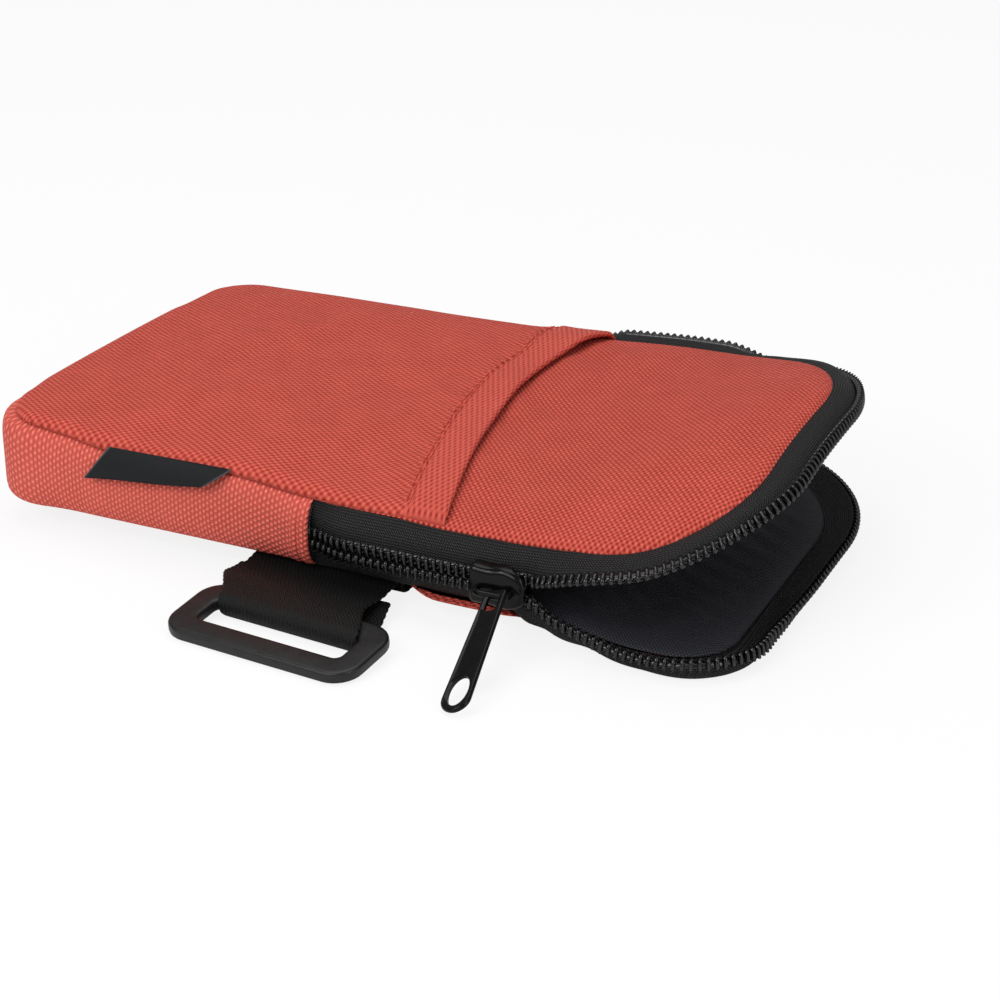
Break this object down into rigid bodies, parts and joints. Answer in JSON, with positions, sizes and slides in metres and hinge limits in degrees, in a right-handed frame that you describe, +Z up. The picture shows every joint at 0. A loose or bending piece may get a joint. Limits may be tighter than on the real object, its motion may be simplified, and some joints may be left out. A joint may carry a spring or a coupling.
{
  "type": "zipped pouch",
  "caption": "Flat padded pouch whose flap end opens with a wraparound coil zip, with a front slip pocket, a strap ring on a webbing loop and a folded hook-and-loop strap.",
  "frame": {"origin": "on the surface the pouch lies on, under the middle of the pouch's plan", "axes": "+X towards the end that the zip opens, +Y away from the side with the slider and the strap ring, +Z up"},
  "size_m": [0.2015, 0.1598, 0.043],
  "materials": {
    "red_weave": "coarse weave",
    "black_lining": "fine weave",
    "padding": "foam",
    "zip_tape": "twill",
    "zip_coil": "glossy",
    "slider_metal": "glossy black",
    "ring_plastic": "satin",
    "webbing": "ribbed",
    "hook_and_loop": "pile",
    "label_ribbon": "satin"
  },
  "bodies": {
    "pouch": {"back_panel": "red_weave", "back_foam": "padding", "back_lining": "black_lining", "gusset": "red_weave", "gusset_lining": "black_lining", "front_panel": "red_weave", "front_foam": "padding", "front_lining": "black_lining", "pocket_panel": "red_weave", "pocket_hem": "red_weave", "zip_tape_front_near": "zip_tape", "zip_tape_front_far": "zip_tape", "zip_tape_back": "zip_tape", "zip_coil_front_near": "zip_coil", "zip_coil_front_far": "zip_coil", "zip_coil_back": "zip_coil", "side_label": "label_ribbon", "anchor_webbing": "webbing"},
    "flap": {"flap_panel": "red_weave", "flap_foam": "padding", "flap_lining": "black_lining", "zip_tape_flap": "zip_tape", "zip_coil_flap": "zip_coil"},
    "slider": {"slider_body": "slider_metal", "slider_bridge": "slider_metal"},
    "pull": {"pull_tab": "slider_metal"},
    "ring_strap": {"ring_strap": "webbing"},
    "ring": {"rect_ring": "ring_plastic"},
    "tail_inner": {"tail_webbing_inner": "webbing", "loop_patch": "hook_and_loop"},
    "tail_outer": {"tail_webbing_outer": "webbing", "hook_patch": "hook_and_loop"}
  },
  "joints": [
    {"name": "flap_hinge", "type": "hinge", "parent": "pouch", "child": "flap", "pos_m": [0.051, 0, 0.03347], "axis": [0, -0.9981, -0.0609], "range_deg": [-5, 60]},
    {"name": "slider_slide", "type": "slide", "parent": "pouch", "child": "slider", "axis": [1, 0, 0], "range_m": [-0.016, 0], "deforming": ["zip_coil_front_near", "zip_coil_back"]},
    {"name": "pull_hinge", "type": "hinge", "parent": "slider", "child": "pull", "pos_m": [0.0439, -0.0648, 0.0139], "axis": [1, 0, 0], "range_deg": [-100, 60]},
    {"name": "ring_strap_fold", "type": "hinge", "parent": "pouch", "child": "ring_strap", "pos_m": [-0.0047, -0.0576, 0.0042], "axis": [1, 0, 0], "range_deg": [-40, 80]},
    {"name": "ring_swivel", "type": "hinge", "parent": "ring_strap", "child": "ring", "pos_m": [0.0007, -0.0742, 0.00344], "axis": [0.9965, -0.0837, 0], "range_deg": [-90, 100], "deforming": ["ring_strap"]},
    {"name": "tail_fold_far", "type": "hinge", "parent": "pouch", "child": "tail_inner", "pos_m": [-0.0047, 0.05, 0.00505], "axis": [1, 0, 0], "range_deg": [0, 145]},
    {"name": "tail_fold_near", "type": "hinge", "parent": "tail_inner", "child": "tail_outer", "pos_m": [-0.0047, -0.047, 0.00245], "axis": [1, 0, 0], "range_deg": [-150, 0]}
  ]
}
